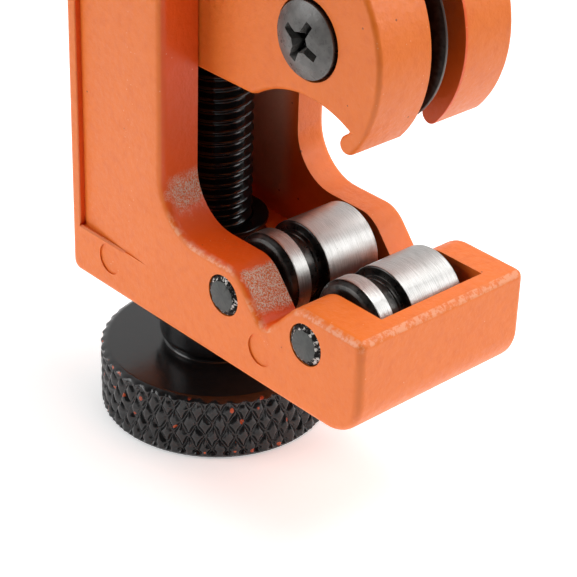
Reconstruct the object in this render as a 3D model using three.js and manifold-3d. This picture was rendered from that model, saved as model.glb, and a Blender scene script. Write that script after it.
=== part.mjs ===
// Mini screw-feed pipe cutter: a C-shaped die-cast frame, a cutter slide driven by a feed screw,
// two grooved rollers and a cutting wheel.
//
// Millimetres, +Z up along the feed screw, +X from the spine towards the rollers, Y across.
// The origin is the centre of the knob's flat lower face, on the feed screw's axis.

import * as THREE from 'three';
import { mergeVertices } from 'three/addons/utils/BufferGeometryUtils.js';
import Module from 'manifold-3d';

const wasm = await Module();
wasm.setup();

// ---------------------------------------------------------------- driving dimensions

const FIT = 0.05;            // running clearance between pieces that touch
const ROUND = 32;            // segments of an ordinary cylinder
const FINE_ROUND = 48;       // segments of the knob, rollers and wheel
const CURVE_STEPS = 6;       // steps of each curve in an outline
const CUT = 5;               // how far a cutting tool runs past the face it cuts

const KNOB = { radius: 10.4, height: 6.2, edge: 0.4, hubRadius: 5.1, hubHeight: 5.3, neckRadius: 4.5,
  neckHeight: 0.5, hubEdge: 0.9, boreDepth: 9.5, pinRadius: 1.0, pinAngle: Math.PI / 4 };
const THRUST_WASHER = { radius: 5.0, thickness: 0.8 };
const FOOT_Z = 12.5;         // underside of the frame's foot above the knob's lower face

const FRAME = {
  halfWidth: 9.1, backX: -9.1, wallFrontX: 3.45, footFrontX: 27.2, height: 55.4,
  wallTop: 9.45, seatRadius: 4.5, footFrontRadius: 3.6, backCornerRadius: 1.0, topCornerRadius: 3.0,
  frontTopRadius: 0.9, edge: 0.6,
};
const CHANNEL = { backX: -6.1, nearY: -5.25, farY: 5.9, floor: 4.8, ceiling: 50.4 };
const POCKET = { backX: 7.1, frontX: 25.4, floor: 2.4 };
const NOTCH = { x: 16.3, halfFloor: 0.25, floor: 5.9, halfMouth: 3.5, lipRadius: 1.2 };
const LABEL_PANEL = { backX: -7.7, frontX: 1.4, bottom: 5.0, top: 52.6, depth: 0.7 };

const ROLLER = { radius: 3.75, z: 6.6, bore: 1.8, nearY: -4.75, farY: 4.85, grooveNear: -2.85,
  grooveFar: -0.9, grooveRadius: 2.85, stepRadius: 3.15, chamfer: 0.35, x: { rear: 11.35, front: 21.1 } };
const ROLLER_PIN = { radius: 1.7, halfLength: 9.3, chamfer: 0.3 };

const SCREW = { radius: 2.95, top: 53.5, bottom: -10.0, endChamfer: 0.5, journalRadius: 1.95, journalZ: 50.7 };
const BUSH = { radius: 4.2, bore: 3.0 };
const COLLAR = { radius: 4.4, hubRadius: 3.5, bottom: 4.9, flangeBottom: 6.1, top: 6.5 };
const TOP_BUSH = { bottom: 50.8, top: 53.7, radius: 2.8, bore: 2.0 };

const SLIDE = {
  bottom: 22.5, top: 38.9, backX: -5.8, headBackX: 3.6, nearY: -5.1, farY: 9.2, channelFarY: 5.75,
  slotNear: 0.25, slotFar: 3.9, slotBackX: 7.4, edge: 0.3, seatChamfer: { x: 1.1, z: 1.5 },
};
const HEAD = { x: 13.2, z: 28.5, radius: 10.4 };
const ARCH = { startX: 10.1, apexZ: 24.5, radius: 10.2, x: 15.9 };
const NOSE = { radius: 0.8, angle: -0.23 * Math.PI, archEndX: 20.6 };
const SLIDE_NUT = { radius: 4.0, bottom: 24.0, top: 37.4 };

const WHEEL = { x: 15.9, y: 1.35, z: 29.25, radius: 8.2, bore: 2.55, hubRadius: 4.3, halfHub: 0.8,
  halfWeb: 0.55, bevelRadius: 6.9 };
const AXLE = { shankRadius: 1.5, headRadius: 3.1, headNearY: -6.05, seatY: -4.1, counterbore: 3.3,
  endY: 9.0, domeRise: 0.7, recessDepth: 1.1, recessArm: 2.0, recessWidth: 0.64, recessTurn: 28 };
const AXLE_BUSH = { radius: 2.5, bore: 1.55, nearY: 0.35, farY: 3.8 };
const AXLE_WASHERS = { radius: 3.9, bore: 2.6, near: [0.3, 0.5], far: [2.2, 3.85] };
const NUT = { acrossFlats: 5.5, nearY: 6.85, farY: 9.1, pocketNearY: 6.2, pocketSlack: 0.1 };
const LOCK_WASHER = { radius: 2.7, nearY: 6.25, farY: 6.8 };

// ---------------------------------------------------------------- materials

function finish(color, roughness, metalness) {
  return new THREE.MeshStandardMaterial({ color, roughness, metalness });
}

const ORANGE_ENAMEL = finish(0xe07038, 0.45, 0.1);
const BLACK_OXIDE = finish(0x1d1d1f, 0.4, 0.7);
const BRIGHT_STEEL = finish(0xd5d3d0, 0.28, 1.0);
const PIN_STEEL = finish(0x6b6a69, 0.5, 0.9);
const TOOL_STEEL = finish(0x2b2a29, 0.35, 0.9);
const BRASS = finish(0xb08d4a, 0.35, 1.0);
const BRONZE = finish(0x9a7142, 0.45, 1.0);

// ---------------------------------------------------------------- geometry helpers

// Indexed positions of a geometry, shared vertices merged and triangles without area dropped.
function weld(geometry) {
  const bare = new THREE.BufferGeometry();
  bare.setAttribute('position', geometry.getAttribute('position').clone());
  if (geometry.index) bare.setIndex(geometry.index.clone());
  const merged = mergeVertices(bare, 1e-4);
  const index = merged.index.array;
  const kept = [];
  for (let i = 0; i < index.length; i += 3) {
    const [a, b, c] = [index[i], index[i + 1], index[i + 2]];
    if (a !== b && b !== c && c !== a) kept.push(a, b, c);
  }
  merged.setIndex(kept);
  return merged;
}

function signedVolume(positions, index) {
  const [a, b, c] = [new THREE.Vector3(), new THREE.Vector3(), new THREE.Vector3()];
  let volume = 0;
  for (let i = 0; i < index.length; i += 3) {
    a.fromArray(positions, 3 * index[i]);
    b.fromArray(positions, 3 * index[i + 1]);
    c.fromArray(positions, 3 * index[i + 2]);
    volume += a.dot(b.cross(c)) / 6;
  }
  return volume;
}

function toSolid(geometry) {
  const welded = weld(geometry);
  const positions = welded.getAttribute('position').array;
  const index = Array.from(welded.index.array);
  if (signedVolume(positions, index) < 0) index.reverse();
  const vertProperties = new Float32Array(positions);
  const triVerts = new Uint32Array(index);
  return new wasm.Manifold(new wasm.Mesh({ numProp: 3, vertProperties, triVerts }));
}

function toGeometry(solid) {
  const mesh = solid.getMesh();
  const geometry = new THREE.BufferGeometry();
  geometry.setAttribute('position', new THREE.BufferAttribute(mesh.vertProperties, 3));
  geometry.setIndex(new THREE.BufferAttribute(mesh.triVerts, 1));
  geometry.computeVertexNormals();
  return geometry;
}

// A shape as straight steps, without the repeated points where an arc starts on the last point.
function withoutRepeats(shape) {
  const closest = 0.01;
  const points = shape.getPoints(CURVE_STEPS);
  const kept = points.filter((point, i) => point.distanceTo(points[(i + 1) % points.length]) > closest);
  return new THREE.Shape(kept);
}

// An outline in X and Z made into a solid from y0 to y1; edge rounds the rims of its two sides.
function plate(shape, y0, y1, edge = 0) {
  const geometry = new THREE.ExtrudeGeometry(withoutRepeats(shape), {
    depth: y1 - y0 - 2 * edge, bevelEnabled: edge > 0,
    bevelThickness: edge, bevelSize: edge, bevelOffset: -edge, bevelSegments: 2,
  });
  geometry.rotateX(Math.PI / 2);
  geometry.translate(0, y1 - edge, 0);
  return toSolid(geometry);
}

function box(x0, x1, y0, y1, z0, z1) {
  const geometry = new THREE.BoxGeometry(x1 - x0, y1 - y0, z1 - z0);
  geometry.translate((x0 + x1) / 2, (y0 + y1) / 2, (z0 + z1) / 2);
  return toSolid(geometry);
}

// A solid of revolution about Z from [radius, height] pairs; a profile off the axis closes on itself.
function turned(profile, segments = ROUND) {
  const points = profile.map(([radius, height]) => new THREE.Vector2(radius, height));
  const onAxis = points[0].x === 0 && points.at(-1).x === 0;
  if (!onAxis) points.push(points[0].clone());
  const geometry = new THREE.LatheGeometry(points, segments);
  geometry.rotateX(Math.PI / 2);
  return toSolid(geometry);
}

function rod(radius, z0, z1, segments = ROUND) {
  return turned([[0, z0], [radius, z0], [radius, z1], [0, z1]], segments);
}

function ring(radius, bore, z0, z1, segments = ROUND) {
  return turned([[bore, z0], [radius, z0], [radius, z1], [bore, z1]], segments);
}

// Turns a solid made about Z, where +Z becomes +Y, and puts its axis at x, z.
function acrossAt(solid, x, z) {
  return solid.rotate([-90, 0, 0]).translate([x, 0, z]);
}

function named(name, solid, material) {
  const mesh = new THREE.Mesh(toGeometry(solid), material);
  mesh.name = name;
  return mesh;
}

// ---------------------------------------------------------------- frame

function wallTopOutline(shape) {
  const { wallTop, seatRadius, wallFrontX, footFrontX, frontTopRadius } = FRAME;
  const { x, halfFloor, halfMouth, floor, lipRadius } = NOTCH;
  shape.lineTo(footFrontX, wallTop - frontTopRadius);
  shape.quadraticCurveTo(footFrontX, wallTop, footFrontX - frontTopRadius, wallTop);
  shape.lineTo(x + halfMouth + lipRadius, wallTop);
  shape.quadraticCurveTo(x + halfMouth, wallTop, x + halfMouth - lipRadius, wallTop - lipRadius);
  shape.lineTo(x + halfFloor, floor);
  shape.lineTo(x - halfFloor, floor);
  shape.lineTo(x - halfMouth + lipRadius, wallTop - lipRadius);
  shape.quadraticCurveTo(x - halfMouth, wallTop, x - halfMouth - lipRadius, wallTop);
  const seatX = wallFrontX + seatRadius;
  shape.lineTo(seatX, wallTop);
  shape.absarc(seatX, wallTop + seatRadius, seatRadius, -Math.PI / 2, -Math.PI, true);
}

function frameOutline() {
  const { backX, footFrontX, wallFrontX, height } = FRAME;
  const { backCornerRadius, footFrontRadius, topCornerRadius } = FRAME;
  const shape = new THREE.Shape();
  shape.moveTo(backX + backCornerRadius, 0);
  shape.lineTo(footFrontX - footFrontRadius, 0);
  shape.absarc(footFrontX - footFrontRadius, footFrontRadius, footFrontRadius, -Math.PI / 2, 0, false);
  wallTopOutline(shape);
  const topZ = height - topCornerRadius;
  shape.lineTo(wallFrontX, topZ);
  shape.absarc(wallFrontX - topCornerRadius, topZ, topCornerRadius, 0, Math.PI / 2, false);
  shape.absarc(backX + topCornerRadius, topZ, topCornerRadius, Math.PI / 2, Math.PI, false);
  shape.absarc(backX + backCornerRadius, backCornerRadius, backCornerRadius, Math.PI, 1.5 * Math.PI, false);
  return shape;
}

// The panel is deepest at its rear step and comes up to the plain side at its front.
function labelPanel() {
  const { backX, frontX, bottom, top, depth } = LABEL_PANEL;
  const side = -FRAME.halfWidth;
  const section = new THREE.Shape();
  section.moveTo(backX, side - CUT);
  section.lineTo(frontX, side - CUT);
  section.lineTo(frontX, side);
  section.lineTo(backX, side + depth);
  const geometry = new THREE.ExtrudeGeometry(section, { depth: top - bottom, bevelEnabled: false });
  geometry.translate(0, 0, bottom);
  return toSolid(geometry);
}

function frame() {
  const { halfWidth, edge } = FRAME;
  const { nearY, farY } = CHANNEL;
  let body = plate(frameOutline(), -halfWidth, halfWidth, edge);
  body = body.subtract(box(CHANNEL.backX, POCKET.frontX, nearY, farY, CHANNEL.floor, CHANNEL.ceiling));
  body = body.subtract(box(POCKET.backX, POCKET.frontX, nearY, farY, POCKET.floor, CHANNEL.ceiling));
  body = body.subtract(labelPanel());
  for (const x of Object.values(ROLLER.x)) {
    const hole = rod(ROLLER_PIN.radius + FIT, -halfWidth - CUT, halfWidth + CUT);
    body = body.subtract(acrossAt(hole, x, ROLLER.z));
  }
  body = body.subtract(rod(BUSH.radius + FIT, -CUT, CHANNEL.floor + CUT));
  body = body.subtract(rod(TOP_BUSH.radius + FIT, CHANNEL.ceiling - CUT, TOP_BUSH.top + FIT));
  return named('frame', body, ORANGE_ENAMEL);
}

function lowerBush() {
  return named('lower_bush', ring(BUSH.radius, BUSH.bore, FIT, CHANNEL.floor - FIT), BRONZE);
}

function topBush() {
  return named('top_bush', ring(TOP_BUSH.radius, TOP_BUSH.bore, TOP_BUSH.bottom, TOP_BUSH.top), BRONZE);
}

// ---------------------------------------------------------------- rollers

function roller(name, x) {
  const { radius, bore, nearY, farY, grooveNear, grooveFar, grooveRadius, stepRadius, chamfer } = ROLLER;
  const profile = [
    [bore, nearY], [radius - 2 * chamfer, nearY], [radius, nearY + chamfer], [radius, grooveNear],
    [stepRadius, grooveNear], [stepRadius, grooveNear + chamfer], [grooveRadius, grooveNear + chamfer],
    [grooveRadius, grooveFar], [radius - chamfer / 2, grooveFar], [radius, grooveFar + chamfer / 2],
    [radius, farY - chamfer], [radius - chamfer, farY], [bore, farY],
  ];
  return named(name, acrossAt(turned(profile, FINE_ROUND), x, ROLLER.z), BRIGHT_STEEL);
}

function rollerPin(name, x) {
  const { radius, halfLength, chamfer } = ROLLER_PIN;
  const profile = [
    [0, -halfLength], [radius - chamfer, -halfLength], [radius, chamfer - halfLength],
    [radius, halfLength - chamfer], [radius - chamfer, halfLength], [0, halfLength],
  ];
  return named(name, acrossAt(turned(profile), x, ROLLER.z), PIN_STEEL);
}

// ---------------------------------------------------------------- feed screw and knob

function feedScrew() {
  const { radius, top, bottom, endChamfer, journalRadius, journalZ } = SCREW;
  let body = turned([
    [0, bottom], [radius - endChamfer, bottom], [radius, bottom + endChamfer],
    [radius, journalZ - endChamfer], [radius - endChamfer, journalZ], [journalRadius, journalZ],
    [journalRadius, top - endChamfer / 2], [journalRadius - endChamfer / 2, top], [0, top],
  ]);
  body = body.subtract(pinAcross(KNOB.pinRadius + FIT, KNOB.radius, hubPinZ()));
  return named('feed_screw', body, BLACK_OXIDE);
}

function hubTop() {
  return -THRUST_WASHER.thickness - 2 * FIT;
}

function hubPinZ() {
  return hubTop() - KNOB.hubHeight / 2;
}

function pinAcross(radius, halfLength, z) {
  const along = rod(radius, -halfLength, halfLength, 24).rotate([0, 90, 0]);
  return along.rotate([0, 0, THREE.MathUtils.radToDeg(KNOB.pinAngle)]).translate([0, 0, z]);
}

function knob() {
  const { radius, height, edge, hubRadius, hubHeight, neckRadius, neckHeight, hubEdge } = KNOB;
  const bore = SCREW.radius + FIT;
  const lower = -FOOT_Z;
  const upper = lower + height;
  const hubBottom = upper + neckHeight;
  let body = turned([
    [0, lower], [radius - edge, lower], [radius - edge * 0.3, lower + edge * 0.3],
    [radius, lower + edge], [radius, upper - edge], [radius - edge * 0.3, upper - edge * 0.3],
    [radius - edge, upper], [neckRadius, upper], [neckRadius, hubBottom],
    [hubRadius - hubEdge * 0.3, hubBottom + hubEdge * 0.3], [hubRadius, hubBottom + hubEdge],
    [hubRadius, hubTop()], [bore, hubTop()], [bore, hubTop() - KNOB.boreDepth], [0, hubTop() - KNOB.boreDepth],
  ], FINE_ROUND);
  body = body.subtract(pinAcross(KNOB.pinRadius + FIT, hubRadius + 0.5, hubPinZ()));
  return named('knob', body, BLACK_OXIDE);
}

function knobPin() {
  return named('knob_pin', pinAcross(KNOB.pinRadius, KNOB.hubRadius - 0.2, hubPinZ()), PIN_STEEL);
}

function thrustWasher() {
  const { radius, thickness } = THRUST_WASHER;
  return named('thrust_washer', ring(radius, BUSH.bore, -thickness - FIT, -FIT), BLACK_OXIDE);
}

function screwCollar() {
  const { radius, hubRadius, bottom, flangeBottom, top } = COLLAR;
  const profile = [
    [BUSH.bore, bottom], [hubRadius, bottom], [hubRadius, flangeBottom], [radius, flangeBottom],
    [radius, top], [BUSH.bore, top],
  ];
  return named('screw_collar', turned(profile), BLACK_OXIDE);
}

// ---------------------------------------------------------------- cutter slide

// The arch is one arc; it meets the flat underside at its rear end and the nose, which is
// tangent to the round head, at its front end.
function archPoint(x) {
  const centreZ = ARCH.apexZ - ARCH.radius;
  return [x, centreZ + Math.sqrt(ARCH.radius ** 2 - (x - ARCH.x) ** 2)];
}

function slideOutline(backX) {
  const shape = new THREE.Shape();
  const archStart = archPoint(ARCH.startX);
  const archEnd = archPoint(NOSE.archEndX);
  const noseX = HEAD.x + (HEAD.radius - NOSE.radius) * Math.cos(NOSE.angle);
  const noseZ = HEAD.z + (HEAD.radius - NOSE.radius) * Math.sin(NOSE.angle);
  const centreZ = ARCH.apexZ - ARCH.radius;
  shape.moveTo(backX, SLIDE.bottom);
  shape.lineTo(ARCH.startX - 0.5, SLIDE.bottom);
  shape.lineTo(...archStart);
  const from = Math.atan2(archStart[1] - centreZ, archStart[0] - ARCH.x);
  const to = Math.atan2(archEnd[1] - centreZ, archEnd[0] - ARCH.x);
  shape.absarc(ARCH.x, centreZ, ARCH.radius, from, to, true);
  shape.absarc(noseX, noseZ, NOSE.radius, 0.6 * Math.PI, 2 * Math.PI + NOSE.angle, false);
  shape.absarc(HEAD.x, HEAD.z, HEAD.radius, NOSE.angle, 0.5 * Math.PI, false);
  shape.lineTo(backX, SLIDE.top);
  return shape;
}

function hexagon(acrossFlats, y0, y1) {
  const radius = acrossFlats / Math.sqrt(3);
  return acrossAt(rod(radius, y0, y1, 6), WHEEL.x, WHEEL.z);
}

// The far cheek's lower rear corner is cut off so that it clears the frame's curved seat at full travel.
function seatClearance() {
  const { headBackX, bottom, channelFarY, farY, seatChamfer } = SLIDE;
  const shape = new THREE.Shape();
  shape.moveTo(headBackX - CUT, bottom - CUT);
  shape.lineTo(headBackX + seatChamfer.x, bottom - CUT);
  shape.lineTo(headBackX + seatChamfer.x, bottom);
  shape.lineTo(headBackX, bottom + seatChamfer.z);
  shape.lineTo(headBackX - CUT, bottom + seatChamfer.z);
  return plate(shape, channelFarY, farY + CUT);
}

function cutterSlide() {
  const { nearY, farY, channelFarY, backX, headBackX, slotNear, slotFar, slotBackX, edge } = SLIDE;
  const tongueBlock = box(backX, slotBackX, nearY - CUT, channelFarY, 0, FRAME.height);
  const tongue = plate(slideOutline(backX), nearY, channelFarY).intersect(tongueBlock);
  const headBlock = box(headBackX, FRAME.footFrontX, nearY - CUT, farY + CUT, 0, FRAME.height);
  const head = plate(slideOutline(headBackX - edge), nearY, farY, edge).intersect(headBlock);
  let body = tongue.add(head).subtract(seatClearance());
  body = body.subtract(box(slotBackX, FRAME.footFrontX, slotNear, slotFar, 0, FRAME.height));
  body = body.subtract(rod(SLIDE_NUT.radius + FIT, 0, FRAME.height));
  const axleHole = acrossAt(rod(AXLE.shankRadius + FIT, nearY - CUT, farY + CUT), WHEEL.x, WHEEL.z);
  const counterbore = acrossAt(rod(AXLE.counterbore, nearY - CUT, AXLE.seatY), WHEEL.x, WHEEL.z);
  const nutPocket = hexagon(NUT.acrossFlats + 2 * NUT.pocketSlack, NUT.pocketNearY, farY + CUT);
  body = body.subtract(axleHole).subtract(counterbore).subtract(nutPocket);
  return named('cutter_slide', body, ORANGE_ENAMEL);
}

function slideNut() {
  const { radius, bottom, top } = SLIDE_NUT;
  return named('slide_nut', ring(radius, BUSH.bore, bottom, top), BRASS);
}

// ---------------------------------------------------------------- cutting wheel and its axle

function cutterWheel() {
  const { radius, bore, hubRadius, halfHub, halfWeb, bevelRadius } = WHEEL;
  const rimFlat = 0.05;
  const profile = [
    [bore, -halfHub], [hubRadius, -halfHub], [hubRadius, -halfWeb], [bevelRadius, -halfWeb],
    [radius, -rimFlat], [radius, rimFlat], [bevelRadius, halfWeb], [hubRadius, halfWeb],
    [hubRadius, halfHub], [bore, halfHub],
  ];
  const body = acrossAt(turned(profile, FINE_ROUND), WHEEL.x, WHEEL.z).translate([0, WHEEL.y, 0]);
  return named('cutter_wheel', body, TOOL_STEEL);
}

function axleRing(name, radius, bore, nearY, farY, material) {
  return named(name, acrossAt(ring(radius, bore, nearY, farY), WHEEL.x, WHEEL.z), material);
}

function axleWasher(side) {
  const { radius, bore } = AXLE_WASHERS;
  return axleRing(`wheel_washer_${side}`, radius, bore, ...AXLE_WASHERS[side], BRIGHT_STEEL);
}

function crossRecess() {
  const { headNearY, recessDepth, recessArm, recessWidth, recessTurn } = AXLE;
  const floor = headNearY + recessDepth;
  const half = recessWidth / 2;
  const arm = box(-recessArm, recessArm, headNearY - CUT, floor, -half, half);
  return arm.add(arm.rotate([0, 90, 0])).rotate([0, recessTurn, 0]).translate([WHEEL.x, 0, WHEEL.z]);
}

function wheelScrew() {
  const { shankRadius, headRadius, headNearY, seatY, endY, domeRise } = AXLE;
  const under = seatY - FIT;
  const body = acrossAt(turned([
    [0, headNearY], [headRadius * 0.55, headNearY + domeRise * 0.2],
    [headRadius * 0.85, headNearY + domeRise * 0.6], [headRadius, headNearY + domeRise * 1.3],
    [headRadius, under], [shankRadius, under], [shankRadius, endY], [0, endY],
  ]), WHEEL.x, WHEEL.z);
  return named('wheel_screw', body.subtract(crossRecess()), BLACK_OXIDE);
}

function wheelNut() {
  const hole = acrossAt(rod(AXLE.shankRadius + FIT, 0, SLIDE.farY + CUT), WHEEL.x, WHEEL.z);
  return named('wheel_nut', hexagon(NUT.acrossFlats, NUT.nearY, NUT.farY).subtract(hole), BLACK_OXIDE);
}

function wheelFasteners() {
  const { radius, bore, nearY, farY } = AXLE_BUSH;
  return [
    wheelScrew(),
    axleRing('wheel_bush', radius, bore, nearY, farY, BRIGHT_STEEL),
    axleWasher('near'),
    axleWasher('far'),
    axleRing('wheel_lock_washer', LOCK_WASHER.radius, bore, LOCK_WASHER.nearY, LOCK_WASHER.farY, BLACK_OXIDE),
    wheelNut(),
  ];
}

// ---------------------------------------------------------------- assembly

const aboveKnob = new THREE.Group();
aboveKnob.position.z = FOOT_Z;
aboveKnob.add(frame(), lowerBush(), topBush());
for (const [place, x] of Object.entries(ROLLER.x)) {
  aboveKnob.add(roller(`roller_${place}`, x), rollerPin(`roller_pin_${place}`, x));
}
aboveKnob.add(feedScrew(), knob(), knobPin(), thrustWasher(), screwCollar());
aboveKnob.add(cutterSlide(), slideNut(), cutterWheel(), ...wheelFasteners());

const group = new THREE.Group();
group.add(aboveKnob);

export default group;
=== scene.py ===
"""Looks of a mini screw-feed pipe cutter: enamelled castings, ground rollers, a real thread and knurl.

Every piece is built in millimetres in the casting's own frame, where z is 0 at the underside of the
CAD model's foot, and is moved to metres in the row frame when it is finished. Sizes come from the CAD
nodes' boxes where they can, and from the named values below where a box doesn't show them.
"""

import math

import bmesh
import bpy
from mathutils import Matrix, Vector, noise


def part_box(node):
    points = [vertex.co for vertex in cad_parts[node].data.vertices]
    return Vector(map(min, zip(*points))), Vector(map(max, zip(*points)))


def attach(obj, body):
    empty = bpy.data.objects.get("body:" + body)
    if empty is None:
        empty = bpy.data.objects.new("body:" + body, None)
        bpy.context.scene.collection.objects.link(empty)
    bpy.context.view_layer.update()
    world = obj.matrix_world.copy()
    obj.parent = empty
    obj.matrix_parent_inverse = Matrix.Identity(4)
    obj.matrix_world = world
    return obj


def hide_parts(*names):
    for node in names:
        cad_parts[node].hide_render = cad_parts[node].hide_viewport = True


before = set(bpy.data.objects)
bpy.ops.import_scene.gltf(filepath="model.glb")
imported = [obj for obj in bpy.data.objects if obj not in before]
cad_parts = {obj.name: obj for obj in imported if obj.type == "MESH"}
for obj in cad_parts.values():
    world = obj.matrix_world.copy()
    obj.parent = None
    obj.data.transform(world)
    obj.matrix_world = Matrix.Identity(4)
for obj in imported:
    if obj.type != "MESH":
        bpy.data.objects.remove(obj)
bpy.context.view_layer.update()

MM = 0.001
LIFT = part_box("frame")[0].z          # the CAD foot's underside above the knob's lower face, in metres
TURN = 2 * math.pi


def mm_box(node):
    """Lowest and highest corner of a CAD node in the casting's frame, in millimetres."""
    return [(corner - Vector((0, 0, LIFT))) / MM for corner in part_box(node)]


# ---------------------------------------------------------------- driving dimensions, millimetres

FRAME_LOW, FRAME_HIGH = mm_box("frame")
SLIDE_LOW, SLIDE_HIGH = mm_box("cutter_slide")
KNOB_LOW, KNOB_HIGH = mm_box("knob")
SCREW_LOW, SCREW_HIGH = mm_box("feed_screw")
WHEEL_LOW, WHEEL_HIGH = mm_box("cutter_wheel")
SCREW_HEAD_Y = mm_box("wheel_screw")[0].y
PIN_LOW, PIN_HIGH = mm_box("roller_pin_rear")
PIN_RADIUS = (PIN_HIGH.z - PIN_LOW.z) / 2 + 0.06     # the staking swells it a little
ROLLER_LOW, ROLLER_HIGH = mm_box("roller_rear")
ROLLER_X = {place: sum(corner.x for corner in mm_box("roller_" + place)) / 2
            for place in ("rear", "front")}
ROLLER_Z = (ROLLER_LOW.z + ROLLER_HIGH.z) / 2
WHEEL_X = (WHEEL_LOW.x + WHEEL_HIGH.x) / 2
WHEEL_Y = (WHEEL_LOW.y + WHEEL_HIGH.y) / 2
WHEEL_Z = (WHEEL_LOW.z + WHEEL_HIGH.z) / 2

WALL_FRONT_X = 3.45                  # front of the spine's two walls
WALL_TOP = 9.45                      # top of the foot's walls
CHANNEL = {"back": -6.1, "near": -5.25, "far": 5.9, "floor": 4.8, "ceiling": 50.4}
POCKET = {"back": 7.1, "front": 25.4, "floor": 2.4}
SEAT_RADIUS = 4.5                    # the curve between the spine and the foot's walls
FOOT_RADIUS = 3.6                    # the foot's lower front corner
FOOT_BOTTOM = 0.22                   # the visible casting's underside, just above the CAD model's
NOTCH = {"x": 16.3, "half_floor": 0.25, "floor": 5.9, "half_mouth": 3.5, "lip": 1.2}
PANEL = {"back": -7.7, "front": 1.4, "bottom": 5.0, "top": 52.6, "depth": 0.5, "lip": 0.15}
EJECTOR_MARKS = ((-3.6, 3.4), (15.9, 3.6))
EJECTOR_RADIUS = 1.4
EJECTOR_DEPTH = 0.14
HOLE_SLACK = 0.05                    # a hole in the casting is this much wider than its bush

PITCH = 1.0                          # M6 x 1
THREAD_DEPTH = 0.58
SCREW_RADIUS = 2.95
THREAD_BOTTOM = 5.0                  # the thread runs from here to the journal
JOURNAL = {"radius": 1.95, "bottom": 50.7, "chamfer": 0.25}
BORE = 3.0                           # of the pieces round the screw
TOP_BUSH_BORE = 2.0                  # round the journal

KNOB = {"rim_height": 6.2, "edge": 0.34, "hub": 5.1, "neck": 4.5, "bore_depth": 9.5}
KNOB_PIN_RADIUS = 1.0
KNOB_PIN_HOLE = {"radius": 1.05, "below_hub_top": 2.65, "angles": (45, 225)}
KNURL_COUNT = 47
KNURL_HEIGHT = 2.57
KNURL_DEPTH = 0.42
COLLAR = {"hub": 3.5, "flange": 0.42}

ROLLER = {"bore": 1.8, "near_land": 0.6, "groove_near": -2.85, "groove_far": -0.9, "groove_depth": 0.95}
WHEEL = {"hub": 4.3, "bore": 2.55, "half_web": 0.55, "bevel": 6.9}
PIN_FACE = 1.36                      # radius of a staked pin's flat face
PIN_TEETH = 15

SLOT = {"near": 0.25, "far": 3.9, "back": 7.4}
HEAD = {"x": 13.2, "z": 28.5, "radius": 10.4}
ARCH = {"start": 10.1, "x": 15.9, "apex": 24.5, "radius": 10.2}
NOSE = {"angle": -41.4, "radius": 0.8, "arch_end": 20.6}
SLIDE_BOTTOM = 22.5                  # flat underside of the slide's tongue
SLIDE_TONGUE_FAR = 5.75
SLIDE_HEAD_BACK = 3.6
SEAT_CHAMFER = (1.1, 1.5)
SLIDE_BORE = 4.05
AXLE_HOLE = 1.55
WHEEL_BUSH = {"bore": AXLE_HOLE, "radius": 2.5}
WHEEL_WASHER = {"bore": 2.6, "radius": 3.9}
LOCK_WASHER = {"bore": AXLE_HOLE, "radius": 2.7}
COUNTERBORE = {"radius": 3.3, "seat": -4.1}
NUT_POCKET = {"across_flats": 5.7, "floor": 6.2}
NUT_ACROSS_FLATS = 5.5
SCREW_DOME = {"radius": 3.08, "height": 0.65, "recess_turn": 28}

# ---------------------------------------------------------------- mesh helpers


def new_object(name, bm):
    """An object of the bmesh, with its faces turned outwards."""
    bmesh.ops.recalc_face_normals(bm, faces=bm.faces)
    mesh = bpy.data.meshes.new(name)
    bm.to_mesh(mesh)
    bm.free()
    body = bpy.data.objects.new(name, mesh)
    bpy.context.scene.collection.objects.link(body)
    return body


def apply_modifiers(body):
    """Replaces the object's mesh by its evaluated one."""
    evaluated = body.evaluated_get(bpy.context.evaluated_depsgraph_get())
    mesh = bpy.data.meshes.new_from_object(evaluated)
    body.modifiers.clear()
    body.data = mesh
    return body


def boolean(body, tool, operation="DIFFERENCE"):
    modifier = body.modifiers.new("boolean", "BOOLEAN")
    modifier.operation = operation
    modifier.object = tool
    modifier.solver = "EXACT"
    apply_modifiers(body)
    bpy.data.objects.remove(tool)
    return body


def soften(body, width, segments=3, sharper_than=35, clamp=True):
    """Rounds the edges sharper than the angle; a clamped rounding is narrowed where faces are small."""
    bm = bmesh.new()
    bm.from_mesh(body.data)
    bmesh.ops.remove_doubles(bm, verts=bm.verts, dist=1e-4)
    bmesh.ops.dissolve_degenerate(bm, edges=bm.edges, dist=1e-4)
    layer = bm.edges.layers.float.get("bevel_weight_edge") or bm.edges.layers.float.new("bevel_weight_edge")
    for edge in bm.edges:
        sharp = len(edge.link_faces) == 2 and edge.calc_face_angle() > math.radians(sharper_than)
        edge[layer] = 1.0 if sharp else 0.0
    bm.to_mesh(body.data)
    bm.free()
    modifier = body.modifiers.new("soften", "BEVEL")
    modifier.limit_method = "WEIGHT"
    modifier.width = width
    modifier.segments = segments
    modifier.use_clamp_overlap = clamp
    return apply_modifiers(body)


def smooth(body):
    """Shades the object smoothly, with flat faces kept flat by their area."""
    body.data.shade_smooth()
    modifier = body.modifiers.new("normals", "WEIGHTED_NORMAL")
    modifier.keep_sharp = False
    modifier.weight = 80
    return apply_modifiers(body)


def plate(name, outline, y0, y1):
    """A solid of an outline of (x, z) points between y0 and y1."""
    bm = bmesh.new()
    rims = [[bm.verts.new((x, y, z)) for x, z in outline] for y in (y0, y1)]
    bm.faces.new(rims[0])
    bm.faces.new(reversed(rims[1]))
    for i, vert in enumerate(rims[0]):
        after = (i + 1) % len(outline)
        bm.faces.new((vert, rims[0][after], rims[1][after], rims[1][i]))
    return new_object(name, bm)


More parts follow.
